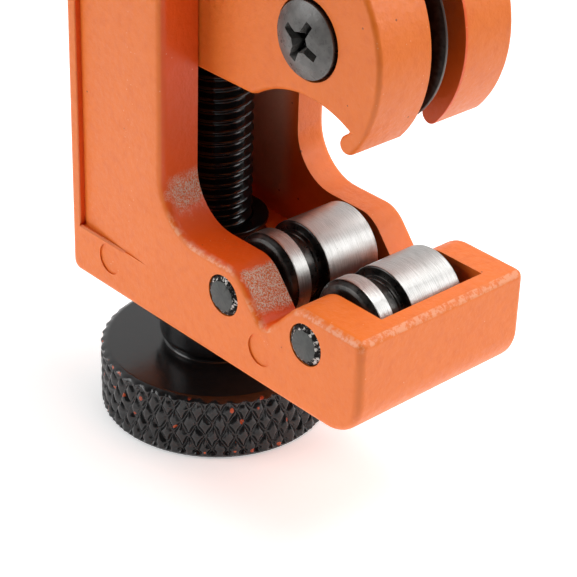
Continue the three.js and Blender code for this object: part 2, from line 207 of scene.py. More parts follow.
def block(low, high):
    bm = bmesh.new()
    bmesh.ops.create_cube(bm, size=1)
    size = [h - l for l, h in zip(low, high)]
    middle = [(h + l) / 2 for l, h in zip(low, high)]
    bmesh.ops.scale(bm, vec=size, verts=bm.verts)
    bmesh.ops.translate(bm, vec=middle, verts=bm.verts)
    return new_object("block", bm)


def arc(x, z, radius, start, end, steps=12):
    """Points on an arc, from the start to the end angle in degrees."""
    angles = [math.radians(start + (end - start) * i / steps) for i in range(steps + 1)]
    return [(x + radius * math.cos(a), z + radius * math.sin(a)) for a in angles]


def curve(start, control, end, steps=8):
    """Points on a quadratic curve."""
    points = []
    for i in range(steps + 1):
        t = i / steps
        weights = ((1 - t) ** 2, 2 * t * (1 - t), t * t)
        points.append(tuple(sum(w * p[k] for w, p in zip(weights, (start, control, end))) for k in (0, 1)))
    return points


def without_repeats(points, closest=0.01):
    return [p for i, p in enumerate(points) if math.dist(p, points[i - 1]) > closest]


def revolve(name, profile, segments=96, shift=None):
    """A solid turned about Z from (radius, z) pairs; shift(angle, radius, z) may move each point outwards.

    A profile that starts and ends on the axis is closed by a cap at each end, any other is a ring.
    """
    bm = bmesh.new()
    solid = profile[0][0] == 0
    rows = []
    for radius, z in (profile[1:-1] if solid else profile):
        row = []
        for i in range(segments):
            angle = TURN * i / segments
            r = radius + (shift(angle, radius, z) if shift else 0)
            row.append(bm.verts.new((r * math.cos(angle), r * math.sin(angle), z)))
        rows.append(row)
    loops = list(zip(rows, rows[1:])) if solid else list(zip(rows, rows[1:] + rows[:1]))
    for lower, upper in loops:
        for i in range(segments):
            after = (i + 1) % segments
            bm.faces.new((lower[i], lower[after], upper[after], upper[i]))
    if solid:
        for row, z in ((rows[0], profile[0][1]), (rows[-1], profile[-1][1])):
            centre = bm.verts.new((0, 0, z))
            for i in range(segments):
                bm.faces.new((row[i], row[(i + 1) % segments], centre))
    return new_object(name, bm)


def rounded(profile, radius, steps=4, closed=False):
    """The (radius, z) profile with its corners rounded, as far as the stretches beside them allow."""
    out = []
    count = len(profile)
    for i, corner in enumerate(profile):
        if not closed and i in (0, count - 1):
            out.append(corner)
            continue
        before, after = Vector(profile[i - 1]), Vector(profile[(i + 1) % count])
        here = Vector(corner)
        back, ahead = before - here, after - here
        reach = min(radius, back.length * 0.45, ahead.length * 0.45)
        if abs(back.normalized().dot(ahead.normalized())) > 0.995:
            out.append(corner)
            continue
        start, end = here + back.normalized() * reach, here + ahead.normalized() * reach
        out += curve(tuple(start), corner, tuple(end), steps)
    return out


def turn_to_y(body, x, z):
    """Turns a solid made about Z, where +Z becomes +Y, and puts its axis at x, z."""
    body.data.transform(Matrix.Translation((x, 0, z)) @ Matrix.Rotation(-math.pi / 2, 4, "X"))
    return body


def moved(body, matrix):
    body.data.transform(matrix)
    return body


def rod(radius, z0, z1, segments=64):
    return revolve("rod", [(0, z0), (radius, z0), (radius, z1), (0, z1)], segments)


def mark_faces(body, index, test):
    """Gives the material of that index to the faces whose centre passes the test."""
    for face in body.data.polygons:
        if test(face.center):
            face.material_index = index


def piece(body, materials, ride, slot, *nodes):
    """Finishes a piece: its materials, its place in metres, its body and the nodes it stands for."""
    for material in materials:
        body.data.materials.append(material)
    body.data.transform(Matrix.Translation((0, 0, LIFT)) @ Matrix.Scale(MM, 4))
    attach(body, ride)
    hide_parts(*nodes)
    return body


# ---------------------------------------------------------------- material helpers


class Shader:
    """A node material on one Principled shader, with positions in millimetres in the casting's frame."""

    def __init__(self, name, **constants):
        self.material = bpy.data.materials.new(name)
        self.material.use_nodes = True
        self.nodes = self.material.node_tree.nodes
        self.links = self.material.node_tree.links
        self.surface = self.nodes["Principled BSDF"]
        for socket, value in constants.items():
            self.surface.inputs[socket.replace("_", " ")].default_value = value
        coordinates = self.nodes.new("ShaderNodeTexCoord")
        mapping = self.nodes.new("ShaderNodeMapping")
        mapping.inputs["Scale"].default_value = (1 / MM,) * 3
        mapping.inputs["Location"].default_value = (0, 0, -LIFT / MM)
        self.links.new(coordinates.outputs["Object"], mapping.inputs["Vector"])
        self.place = mapping.outputs["Vector"]

    def node(self, kind, settings=None, **inputs):
        made = self.nodes.new("ShaderNode" + kind)
        for key, value in (settings or {}).items():
            setattr(made, key, value)
        for key, value in inputs.items():
            self.feed(made.inputs[key.replace("_", " ")], value)
        return made

    def feed(self, socket, value):
        if isinstance(value, bpy.types.NodeSocket):
            self.links.new(value, socket)
        else:
            socket.default_value = value

    def stretched(self, scale):
        mapping = self.node("Mapping", Vector=self.place)
        mapping.inputs["Scale"].default_value = scale
        return mapping.outputs["Vector"]

    def noise(self, scale, detail=2.0, roughness=0.5, vector=None):
        made = self.node("TexNoise", Vector=vector or self.place, Scale=scale, Detail=detail)
        made.inputs["Roughness"].default_value = roughness
        return made.outputs["Fac"]

    def voronoi(self, scale, output="Distance"):
        return self.node("TexVoronoi", Vector=self.place, Scale=scale, Randomness=1.0).outputs[output]

    def math(self, operation, a, b=0.0):
        made = self.node("Math", {"operation": operation, "use_clamp": False})
        self.feed(made.inputs[0], a)
        self.feed(made.inputs[1], b)
        return made.outputs[0]

    def step(self, value, low, high, to_low=0.0, to_high=1.0):
        """A smooth step from to_low, where the value is low, to to_high."""
        made = self.node("MapRange", {"interpolation_type": "SMOOTHSTEP"}, Value=value)
        for key, number in (("From Min", low), ("From Max", high), ("To Min", to_low), ("To Max", to_high)):
            made.inputs[key].default_value = number
        return made.outputs["Result"]

    def axis(self, name):
        return self.node("SeparateXYZ", Vector=self.place).outputs[name]

    def within(self, low, high, soft=0.3):
        """1 inside the box between two corners, fading to 0 over the soft distance; None is open."""
        found = None
        for name, lower, upper in zip("XYZ", low, high):
            for limit, sign in ((lower, 1), (upper, -1)):
                if limit is None:
                    continue
                side = self.step(self.axis(name), limit - sign * soft, limit + sign * soft)
                found = side if found is None else self.math("MULTIPLY", found, side)
        return found

    def zones(self, boxes):
        """1 inside any of the boxes, each a low corner, a high corner and a softness."""
        found = None
        for low, high, soft in boxes:
            zone = self.within(low, high, soft)
            found = zone if found is None else self.math("MAXIMUM", found, zone)
        return found

    def dots(self, scale, radius, share, channel):
        """Round dots in that share of the cells of a scattered net."""
        pick = self.node("SeparateColor", Color=self.voronoi(scale, output="Color")).outputs[channel]
        chosen = self.step(pick, 1 - share - 0.03, 1 - share)
        return self.math("MULTIPLY", self.step(self.voronoi(scale), radius, radius * 0.6), chosen)

    def edges(self):
        """1 where the surface turns away from all three axes, as it does on a rounded edge."""
        squareness = 0.0
        for axis in "XYZ":
            squareness = self.math("MAXIMUM", self.math("ABSOLUTE", self.facing(axis)), squareness)
        return self.step(squareness, 0.985, 0.93)

    def mix(self, factor, a, b):
        made = self.node("Mix", {"data_type": "RGBA"})
        self.feed(made.inputs["Factor"], factor)
        self.feed(made.inputs["A"], a)
        self.feed(made.inputs["B"], b)
        return made.outputs["Result"]

    def tint(self, base, mask, share, color):
        """The base with that share of another colour where the mask is 1; without a mask, the base."""
        return base if mask is None else self.mix(self.math("MULTIPLY", mask, share), base, color)

    def bump(self, height, distance, strength=1.0, normal=None):
        """A bump whose height of 1 stands for the distance in millimetres."""
        made = self.node("Bump", Height=height, Strength=strength, Distance=distance * MM)
        if normal is not None:
            self.feed(made.inputs["Normal"], normal)
        return made.outputs["Normal"]

    def facing(self, axis):
        """The surface normal's part along an axis of the object, from -1 to 1."""
        normal = self.node("TexCoord").outputs["Normal"]
        return self.node("SeparateXYZ", Vector=normal).outputs[axis]

    def wire(self, **sockets):
        for socket, value in sockets.items():
            self.feed(self.surface.inputs[socket.replace("_", " ")], value)
        return self.material


def srgb(red, green, blue):
    """An 8-bit screen colour as linear RGBA."""
    def linear(value):
        share = value / 255
        return share / 12.92 if share <= 0.04045 else ((share + 0.055) / 1.055) ** 2.4
    return (linear(red), linear(green), linear(blue), 1.0)


COAT = srgb(236, 115, 32)
COAT_LIGHT = srgb(243, 124, 40)
COAT_BLOTCH = srgb(229, 104, 26)
# Painted shade: a deeper, more saturated orange where little light reaches the coat.
COAT_PAINTED_SHADE = srgb(238, 84, 6)
# Painted reflected light: a lighter, greyer coat.
COAT_PAINTED_REFLECTION = srgb(232, 190, 168)
# Worn paint on edges, which also serves as a painted edge highlight.
COAT_RUBBED_AND_HIGHLIT = srgb(250, 184, 146)
# Painted sheen: a paler orange on the coarse cast patches.
SKIN_SHEEN = srgb(255, 156, 96)
# Painted glints on the coarse cast patches.
SKIN_PAINTED_GLINT = srgb(255, 228, 208)
DARK_SPECK = srgb(120, 52, 24)
PALE_SPECK = srgb(250, 190, 150)
OVERSPRAY_DARK = srgb(150, 52, 28)
OVERSPRAY_LIGHT = srgb(214, 96, 44)
# Painted shade in the crosshead recess.
RECESS_SHADE_COLOR = srgb(16, 15, 15)

# ---------------------------------------------------------------- materials


def orange_enamel(name, rough_with_sheen=(), worn=(), painted_shade=(), dull=(), speck_seed=1.0):
    """Baked orange enamel on a die-casting.

    In the coarse zones the cast surface shows through, paler as a painted sheen and with painted glints;
    rounded edges inside worn zones are paler, partly worn paint and partly a painted edge highlight; the
    coat is a deeper, more saturated orange as painted shade in the shade zones, and lighter and greyer as
    painted reflected light in the dull ones.
    """
    s = Shader(name, IOR=1.5)
    base = s.mix(s.noise(0.35, 3.0), COAT, COAT_LIGHT)
    base = s.tint(base, s.step(s.noise(1.1, 4.0), 0.45, 0.75), 0.4, COAT_BLOTCH)
    # Painted shade in the shade zones.
    base = s.tint(base, s.zones(painted_shade), 0.85, COAT_PAINTED_SHADE)
    # Painted reflected light in the dull zones.
    base = s.tint(base, s.zones(dull), 0.9, COAT_PAINTED_REFLECTION)
    skin_and_sheen, grain = s.zones(rough_with_sheen), s.noise(8.5, 2.0, 0.6)
    if rough_with_sheen:
        ragged = s.math("MULTIPLY", s.noise(1.3, 3.0), 0.9)
        skin_and_sheen = s.step(s.math("ADD", skin_and_sheen, ragged), 0.60, 1.35)
        # Painted sheen and painted glints where the cast surface is coarse.
        base = s.tint(base, skin_and_sheen, 0.5, SKIN_SHEEN)
        base = s.tint(base, skin_and_sheen, s.step(grain, 0.45, 0.57), SKIN_PAINTED_GLINT)
    if worn:
        broken = s.step(s.noise(1.5, 4.0, 0.7), 0.42, 0.56)
        # Paler rounded edges in the worn zones: worn paint and a painted edge highlight.
        rubbed_and_highlit = s.math("MULTIPLY", s.math("MULTIPLY", s.edges(), broken), s.zones(worn))
        base = s.tint(base, rubbed_and_highlit, 0.5, COAT_RUBBED_AND_HIGHLIT)
    base = s.tint(base, s.dots(0.75 * speck_seed, 0.10, 0.2, "Red"), 0.8, DARK_SPECK)
    base = s.tint(base, s.dots(1.9 * speck_seed, 0.13, 0.1, "Green"), 0.5, PALE_SPECK)

    roughness = s.step(s.noise(2.5, 3.0), 0.3, 0.7, 0.36, 0.50)
    peel = s.math("MULTIPLY", s.noise(1.6, 2.0), 0.7)
    height = s.math("ADD", peel, s.math("MULTIPLY", s.noise(5.5, 3.0, 0.6), 0.3))
    normal = s.bump(height, 0.10, 0.8)
    if rough_with_sheen:
        normal = s.bump(s.math("MULTIPLY", grain, skin_and_sheen), 0.25, 1.0, normal)
        roughness = s.math("MULTIPLY", roughness, s.step(skin_and_sheen, 0.0, 1.0, 1.0, 0.7))
    return s.wire(Base_Color=base, Roughness=roughness, Normal=normal)


def overspray(s, base, low, high, share):
    """The base colour with ragged spots of orange paint in the box, in that share of a net's cells."""
    scale = 0.95
    pick = s.node("SeparateColor", Color=s.voronoi(scale, output="Color"))
    ragged = s.math("MULTIPLY", s.noise(5.0, 2.0), 0.14)
    near = s.step(s.math("ADD", s.voronoi(scale), ragged), 0.30, 0.24)
    spots = s.math("MULTIPLY", near, s.step(pick.outputs["Blue"], 1 - share - 0.02, 1 - share))
    spots = s.math("MULTIPLY", spots, s.within(low, high, 0.1))
    return s.mix(spots, base, s.mix(pick.outputs["Green"], OVERSPRAY_DARK, OVERSPRAY_LIGHT))


def black_oxide(name, color=srgb(40, 40, 42), shine=0.32, paint=None, grain=0.03, recess_shade_y=None):
    """Blackened steel; paint gives the box and the share of its spots of orange overspray.

    A recess cut into a face square to Y gets painted shade: it is darker from the given y onwards.
    """
    s = Shader(name, IOR=1.5)
    darker = tuple(channel * 0.6 for channel in color[:3]) + (1.0,)
    base = s.mix(s.step(s.noise(1.3, 3.0), 0.3, 0.7), color, darker)
    if paint:
        base = overspray(s, base, *paint)
    if recess_shade_y is not None:
        # Painted shade: darker inside the recess.
        base = s.mix(s.step(s.axis("Y"), recess_shade_y, recess_shade_y + 0.25), base, RECESS_SHADE_COLOR)
    roughness = s.step(s.noise(2.2, 2.0), 0.3, 0.7, shine * 0.85, shine * 1.25)
    normal = s.bump(s.noise(6.0, 2.0, 0.5), grain, 0.5)
    return s.wire(Base_Color=base, Roughness=roughness, Normal=normal)


def ground_steel(name):
    """Steel ground in a lathe: fine rings around the Y axis and a few handling marks."""
    s = Shader(name, Metallic=1.0)
    rings = s.noise(1.0, 5.0, 0.7, s.stretched((0.6, 26.0, 0.6)))
    smudge = s.noise(0.9, 3.0)
    base = s.mix(s.step(rings, 0.3, 0.7), srgb(160, 159, 156), srgb(218, 217, 215))
    pits_pick = s.node("SeparateColor", Color=s.voronoi(3.2, output="Color")).outputs["Red"]
    pits = s.math("MULTIPLY", s.step(s.voronoi(3.2), 0.14, 0.08), s.step(pits_pick, 0.9, 0.93))
    base = s.tint(base, pits, 0.7, srgb(104, 98, 94))
    roughness = s.math("ADD", s.step(rings, 0.3, 0.7, 0.26, 0.36), s.math("MULTIPLY", smudge, 0.08))
    return s.wire(Base_Color=base, Roughness=roughness, Normal=s.bump(rings, 0.03, 0.7))


def darker_steel(name):
    """Darker steel in the rollers' grooves and on their ends."""
    s = Shader(name, Metallic=0.85)
    tone = s.noise(1.2, 2.0)
    base = s.mix(s.step(tone, 0.35, 0.65), srgb(46, 45, 44), srgb(72, 70, 68))
    roughness = s.step(s.noise(2.4, 2.0), 0.3, 0.7, 0.26, 0.38)
    return s.wire(Base_Color=base, Roughness=roughness, Normal=s.bump(tone, 0.02, 0.5))


def pin_steel(name):
    """The dull grey ends of plain pin stock."""
    s = Shader(name, Metallic=0.35)
    tone = s.noise(1.4, 3.0)
    base = s.mix(s.step(tone, 0.35, 0.65), srgb(66, 68, 67), srgb(78, 80, 78))
    return s.wire(Base_Color=base, Roughness=s.step(tone, 0.3, 0.7, 0.4, 0.5),
                  Normal=s.bump(s.noise(4.0, 3.0), 0.03, 0.6))


def chipped_steel_dark_reflection(name):
    """The crushed rim of a staked pin: painted black as a dark reflection, with a few bright torn edges."""
    s = Shader(name, Metallic=0.8)
    chips = s.step(s.noise(2.4, 4.0, 0.7), 0.53, 0.60)
    base = s.mix(chips, srgb(22, 20, 20), srgb(206, 202, 198))
    return s.wire(Base_Color=base, Roughness=s.step(chips, 0.0, 1.0, 0.6, 0.3),
                  Normal=s.bump(s.noise(4.5, 4.0, 0.7), 0.12, 1.0))


def tool_steel(name):
    """Hardened dark steel of the wheel, lighter towards its edge: a ground bevel with a painted edge
    highlight.
    """
    s = Shader(name, Metallic=0.9)
    tone = s.noise(1.8, 4.0)
    base = s.mix(s.step(tone, 0.35, 0.65), srgb(30, 27, 26), srgb(46, 42, 40))
    across = s.math("ABSOLUTE", s.math("SUBTRACT", s.axis("Y"), WHEEL_Y))
    # Lighter near the edge: the ground bevel and a painted highlight along the cutting edge.
    base = s.mix(s.step(across, 0.09, 0.04), base, srgb(120, 116, 112))
    return s.wire(Base_Color=base, Roughness=s.step(tone, 0.3, 0.7, 0.3, 0.42),
                  Normal=s.bump(tone, 0.02, 0.5))


def turned_metal(name, dark, light, shine):
    """Brass or bronze with fine turning rings around Z."""
    s = Shader(name, Metallic=1.0)
    rings = s.noise(1.0, 4.0, 0.6, s.stretched((0.8, 0.8, 14.0)))
    base = s.mix(rings, dark, light)
    return s.wire(Base_Color=base, Roughness=s.step(rings, 0.3, 0.7, shine, shine + 0.12),
                  Normal=s.bump(rings, 0.02, 0.6))


# Coarse cast patches, which also get a painted sheen and painted glints.
FRAME_ROUGH_AND_SHEEN_ZONES = (
    ((12.7, -8.6, 6.4), (15.9, -4.7, 9.2), 0.5),
    ((2.6, -8.4, 11.3), (6.0, -4.6, 13.6), 1.3),
)
# Edges with worn paint, which also get a painted edge highlight.
FRAME_WEAR_AND_HIGHLIGHT_ZONES = (
    ((4.2, None, 8.8), (12.4, -8.75, 13.0), 0.3),
    ((13.6, None, 5.0), (17.4, -8.6, 7.4), 0.3),
    ((19.4, None, 8.7), (28.0, -8.6, 10.0), 0.3),
    ((26.6, None, 8.7), (28.0, None, 10.0), 0.15),
)
# Painted shade: round the near wall's front strip below the slide, and in the panel's rear step.
FRAME_PAINTED_SHADE_ZONES = (
    ((3.2, -8.9, 5.0), (16.6, -5.0, 56.0), 0.12),
    ((-7.9, -9.0, 4.9), (-7.55, -8.3, 53.0), 0.06),
)
# Painted reflected light on the far wall's inner face.
FRAME_PAINTED_REFLECTION_ZONES = (((-9.0, 4.6, 7.0), (2.2, 7.6, 60.0), 1.2),)
ENAMEL = orange_enamel("orange_enamel", FRAME_ROUGH_AND_SHEEN_ZONES, FRAME_WEAR_AND_HIGHLIGHT_ZONES, FRAME_PAINTED_SHADE_ZONES,
                       FRAME_PAINTED_REFLECTION_ZONES)
# Painted shade in the wheel's slot.
SLOT_PAINTED_SHADE_ZONES = (((SLOT["back"], SLOT["near"], 20.0), (26.0, SLOT["far"] + 0.25, 40.0), 0.1),)
SLIDE_ENAMEL = orange_enamel("orange_enamel_slide", painted_shade=SLOT_PAINTED_SHADE_ZONES, speck_seed=1.17)
SCREW_BLACK = black_oxide("black_oxide_screw", srgb(12, 12, 13), 0.16, grain=0.004)
KNURL_PAINT = ((None, None, KNOB_LOW.z - 1), (None, None, KNOB_LOW.z + 6.05), 0.34)
KNOB_BLACK = black_oxide("black_oxide_knob", srgb(27, 27, 28), 0.19, KNURL_PAINT, 0.012)
RECESS_SHADE_Y = SCREW_HEAD_Y + SCREW_DOME["height"]
HEAD_BLACK = black_oxide("black_oxide_head", srgb(106, 104, 101), 0.3, grain=0.02, recess_shade_y=RECESS_SHADE_Y)
SMALL_BLACK = black_oxide("black_oxide_small", srgb(38, 38, 39), 0.36)
ROLLER_STEEL = ground_steel("ground_steel")
ROLLER_DARKER = darker_steel("darker_steel")
PIN_STEEL = pin_steel("pin_steel")
# Staked rims: black as a painted dark reflection, with bright torn edges.
PIN_CHIPS_DARK_REFLECTION = chipped_steel_dark_reflection("chipped_steel_dark_reflection")
WHEEL_STEEL = tool_steel("tool_steel")
BRASS = turned_metal("turned_brass", srgb(168, 132, 66), srgb(206, 172, 98), 0.3)
BRONZE = turned_metal("sintered_bronze", srgb(140, 100, 56), srgb(172, 130, 78), 0.4)

# ---------------------------------------------------------------- frame casting


def wall_top_outline():
    """From the foot's front, over the V-notch between the rollers, to the seat's curve."""
    front, x, lip = FRAME_HIGH.x, NOTCH["x"], NOTCH["lip"]
    half, floor = NOTCH["half_mouth"], NOTCH["floor"]
    slope = (WALL_TOP - floor) / (half - NOTCH["half_floor"])
    drop = lip * 0.9
    points = [(front, WALL_TOP)]
    mouth = x + half
    points += curve((mouth + lip, WALL_TOP), (mouth, WALL_TOP), (mouth - drop / slope, WALL_TOP - drop))
    points += curve((x + 0.9, floor + 0.65 * slope), (x + 0.25, floor), (x - 0.2, floor), 5)
    mouth = x - half
    left, fillet = x - NOTCH["half_floor"], 0.35
    corner = (left - fillet / 2, floor)
    points += curve((left, floor), corner, (left - fillet, floor + fillet * slope / 2), 4)
    points += curve((mouth + drop / slope, WALL_TOP - drop), (mouth, WALL_TOP), (mouth - lip, WALL_TOP))
    seat_x = WALL_FRONT_X + SEAT_RADIUS
    points += arc(seat_x, WALL_TOP + SEAT_RADIUS, SEAT_RADIUS, 270, 180)
    return points


def frame_outline():
    back, front, height = FRAME_LOW.x, FRAME_HIGH.x, FRAME_HIGH.z
    top, corner = 3.0, 1.0
    points = [(back + corner, FOOT_BOTTOM)]
    points += arc(front - FOOT_RADIUS, FOOT_BOTTOM + FOOT_RADIUS, FOOT_RADIUS, 270, 360)
    points += wall_top_outline()
    points += arc(WALL_FRONT_X - top, height - top, top, 0, 90)
    points += arc(back + top, height - top, top, 90, 180)
    points += arc(back + corner, FOOT_BOTTOM + corner, corner, 180, 270, 6)
    return without_repeats(points)


def panel_cutter():
    """A wedge whose floor starts at the panel's round-lipped rear step and meets the side at its front."""
    side, lip = FRAME_LOW.y, PANEL["lip"]
    section = [(PANEL["front"], side - 1), (PANEL["back"] - lip, side - 1)]
    section += arc(PANEL["back"] - lip, side + lip, lip, 270, 360, 6)
    section += [(PANEL["back"], side + PANEL["depth"]), (PANEL["front"], side)]
    cutter = plate("panel_cutter", section, -PANEL["top"], -PANEL["bottom"])
    return moved(cutter, Matrix.Rotation(-math.pi / 2, 4, "X"))


def panel_lip_cutter():
    """A square bar on its edge, which bevels the lower step of the panel."""
    side, size = FRAME_LOW.y, 0.12
    bar = block((PANEL["back"] - 0.1, -size, -size), (PANEL["front"] - 3, size, size))
    return moved(bar, Matrix.Translation((0, side, PANEL["bottom"])) @ Matrix.Rotation(math.pi / 4, 4, "X"))


def frame_casting():
    low_y, high_y = FRAME_LOW.y, FRAME_HIGH.y
    body = plate("frame_casting", frame_outline(), low_y, high_y)
    near, far, floor, ceiling = (CHANNEL[key] for key in ("near", "far", "floor", "ceiling"))
    soften(body, 0.7, 5, clamp=False)
    boolean(body, block((CHANNEL["back"], near, floor), (POCKET["front"], far, ceiling)))
    boolean(body, block((POCKET["back"], near, POCKET["floor"]), (POCKET["front"], far, floor + 1)))
    boolean(body, panel_cutter())
    boolean(body, panel_lip_cutter())
    pin_hole = PIN_RADIUS + 0.03
    for x in ROLLER_X.values():
        boolean(body, turn_to_y(rod(pin_hole, low_y - 1, high_y + 1), x, ROLLER_Z))
    for x, z in EJECTOR_MARKS:
        boolean(body, turn_to_y(rod(EJECTOR_RADIUS, low_y - 1, low_y + EJECTOR_DEPTH), x, z))
    boolean(body, rod(mm_box("lower_bush")[1].x + HOLE_SLACK, -1, floor + 1, 96))
    top_bush = mm_box("top_bush")[1]
    boolean(body, rod(top_bush.x + HOLE_SLACK, ceiling - 1, top_bush.z + HOLE_SLACK))
    soften(body, 0.14, 2)
    smooth(body)
    piece(body, [ENAMEL], "frame_body", "orange_enamel", "frame")


# ---------------------------------------------------------------- bushes, pins and rollers


def ring_piece(name, inner, outer, low, high, material, ride, slot):
    profile = rounded([(inner, low), (outer, low), (outer, high), (inner, high)], 0.18, closed=True)
    piece(revolve(name + "_turned", profile), [material], ride, slot, name)


def bushes():
    for name, inner in (("lower_bush", BORE), ("top_bush", TOP_BUSH_BORE)):
        low, high = mm_box(name)
        ring_piece(name, inner, high.x, low.z, high.z, BRONZE, "frame_body", "bronze")


def roller_pin(place):
    """A pin whose ends are staked: their rims are crushed into irregular teeth."""
    half, face = PIN_HIGH.y, PIN_FACE
    seed = {"rear": 7.0, "front": 19.0}[place]

    def crushed(angle, r, z):
        if abs(z) < half - 0.35 or r < face * 0.9:
            return 0
        ragged = noise.noise(Vector((math.cos(angle) * 2.2, math.sin(angle) * 2.2, seed))) * 0.12
        tooth = abs(math.sin(angle * PIN_TEETH / 2 + 3 * ragged))
        return (ragged - 0.09 * tooth) * (1 if r < PIN_RADIUS else 0.4)

    end = [(0, -half), (face - 0.14, -half), (face, -half + 0.03), (face + 0.12, -half + 0.14),
           (PIN_RADIUS - 0.06, -half + 0.24), (PIN_RADIUS, -half + 0.32), (PIN_RADIUS, -half + 0.7)]
    profile = end + [(r, -z) for r, z in reversed(end)]
    body = revolve("roller_pin_%s_staked" % place, profile, 144, crushed)
    mark_faces(body, 1, lambda c: math.hypot(c.x, c.y) > face * 0.97 and abs(c.z) > half - 0.6)
    body.data.shade_smooth()
    turn_to_y(body, ROLLER_X[place], ROLLER_Z)
    piece(body, [PIN_STEEL, PIN_CHIPS_DARK_REFLECTION], "frame_body", "pin_steel", "roller_pin_" + place)


def roller(place):
    """Two ground lands with a darker groove between them, and a dark chamfered near end."""
    radius = ROLLER_HIGH.z - ROLLER_Z
    near, far, bore = ROLLER_LOW.y, ROLLER_HIGH.y, ROLLER["bore"]
    land, groove_near, groove_far = near + ROLLER["near_land"], ROLLER["groove_near"], ROLLER["groove_far"]
    groove, lip = radius - ROLLER["groove_depth"], radius - 0.5
    profile = [
        (bore, near), (radius - 0.62, near), (radius - 0.35, near + 0.12), (radius - 0.1, near + 0.4),
        (radius, land), (radius, groove_near - 0.03), (radius - 0.03, groove_near),
        (lip, groove_near + 0.02), (groove, groove_near + 0.3), (groove, groove_far - 0.5),
        (groove + 0.12, groove_far - 0.42), (groove + 0.14, groove_far - 0.02), (radius - 0.12, groove_far),
        (radius, groove_far + 0.1), (radius, far - 0.25), (radius - 0.25, far), (bore, far),
    ]
    body = revolve("roller_%s_ground" % place, rounded(profile, 0.07, 3, closed=True), 144)
    mark_faces(body, 1, lambda c: math.hypot(c.x, c.y) < radius - 0.035)
    smooth(body)
    turn_to_y(body, ROLLER_X[place], ROLLER_Z)
    piece(body, [ROLLER_STEEL, ROLLER_DARKER], "roller_%s_body" % place, "roller_steel", "roller_" + place)


# ---------------------------------------------------------------- feed screw and knob


def thread_depth(angle, z):
    """How far the right-hand thread's surface lies inside its crest, with flat crests and round roots."""
    phase = (z / PITCH - angle / TURN) % 1.0
    flank = abs(phase - 0.5) * 2
    return THREAD_DEPTH * min(1.0, max(0.0, (flank - 0.14) / 0.7)) ** 0.85


def feed_screw():
    """A real helix: each point of an even net is moved in by the thread's depth there."""
    steps_per_pitch, chamfer = 12, 0.5
    low, high, top = SCREW_LOW.z, JOURNAL["bottom"], SCREW_HIGH.z
    count = round((high - THREAD_BOTTOM) / PITCH * steps_per_pitch)
    profile = [(0, low), (SCREW_RADIUS - chamfer, low), (SCREW_RADIUS, low + chamfer)]
    profile += [(SCREW_RADIUS, THREAD_BOTTOM - 0.4)]
    profile += [(SCREW_RADIUS, THREAD_BOTTOM + PITCH * i / steps_per_pitch) for i in range(count + 1)]
    journal, end = JOURNAL["radius"], JOURNAL["chamfer"]
    profile += [(journal, high + 0.02), (journal, top - end), (journal - end, top), (0, top)]

    def cut(angle, r, z):
        if r < SCREW_RADIUS or z < THREAD_BOTTOM:
            return 0
        fade = min(1.0, (z - THREAD_BOTTOM) / PITCH)
        return -thread_depth(angle, z) * fade

    body = revolve("feed_screw_threaded", profile, 60, cut)
    body.data.shade_smooth()
    piece(body, [SCREW_BLACK], "screw_body", "black_oxide", "feed_screw")


def knurl(angle, z):
    """Depth of a diamond knurl: two crossed sets of V-grooves around pyramids with worn tops."""
    here = Vector((math.cos(angle), math.sin(angle), z / 10))
    around = angle * KNURL_COUNT / TURN + 0.10 * noise.noise(here * 9)
    along = z / KNURL_HEIGHT + 0.08 * noise.noise(here * 7 + Vector((3, 1, 8)))
    rise = []
    for phase in (around + along, around - along):
        rise.append(1 - abs(2 * (phase % 1.0) - 1))
    worn = 0.92 + 0.10 * noise.noise(here * 12 + Vector((5, 9, 2)))
    return KNURL_DEPTH * (1 - min(min(rise) / worn, 1.0)) ** 2


def knob_profile():
    """The knob's section from its lower face, up the knurled rim and the hub, and down the screw's bore."""
    low, radius, hub_top = KNOB_LOW.z, KNOB_HIGH.x, KNOB_HIGH.z
    rim_top, edge = low + KNOB["rim_height"], KNOB["edge"]
    hub, neck = KNOB["hub"], KNOB["neck"]
    knurl_low, knurl_high = low + edge, rim_top - edge
    rings = 60
    rim = [(radius, knurl_low + (knurl_high - knurl_low) * i / rings) for i in range(rings + 1)]
    floor_z = hub_top - KNOB["bore_depth"]
    profile = [(0, low), (radius - 0.75, low), (radius - 0.6, low), (radius - 0.28, low + 0.12)] + rim
    profile += [(radius - 0.28, rim_top - 0.12), (radius - 0.6, rim_top), (radius - 0.75, rim_top)]
    profile += [(7.4, rim_top), (5.6, rim_top), (neck + 0.25, rim_top), (neck, rim_top + 0.12)]
    profile += [(neck, rim_top + 0.4), (neck + 0.1, rim_top + 0.55), (hub - 0.25, rim_top + 0.75)]
    profile += [(hub - 0.07, rim_top + 1.05), (hub, rim_top + 1.4), (hub, hub_top - 0.25)]
    profile += [(hub - 0.25, hub_top), (BORE + 0.1, hub_top), (BORE + 0.05, floor_z), (0, floor_z)]
    return profile


def knob():
    low, radius = KNOB_LOW.z, KNOB_HIGH.x
    rim_top, fade_over = low + KNOB["rim_height"], 2 * KNOB["edge"]

    def pressed(angle, r, z):
        if r < radius - 0.15 or z > rim_top:
            return 0
        fade = min(1.0, (z - low) / fade_over, (rim_top - z) / fade_over)
        return -knurl(angle, z) * fade

    body = revolve("knob_knurled", knob_profile(), KNURL_COUNT * 16, pressed)
    for angle in KNOB_PIN_HOLE["angles"]:
        place = Matrix.Translation((0, 0, KNOB_HIGH.z - KNOB_PIN_HOLE["below_hub_top"]))
        turn = Matrix.Rotation(math.radians(angle), 4, "Z") @ place @ Matrix.Rotation(math.pi / 2, 4, "Y")
        boolean(body, moved(rod(KNOB_PIN_HOLE["radius"], 0, 8, 48), turn))
    smooth(body)
    piece(body, [KNOB_BLACK], "screw_body", "black_oxide", "knob")


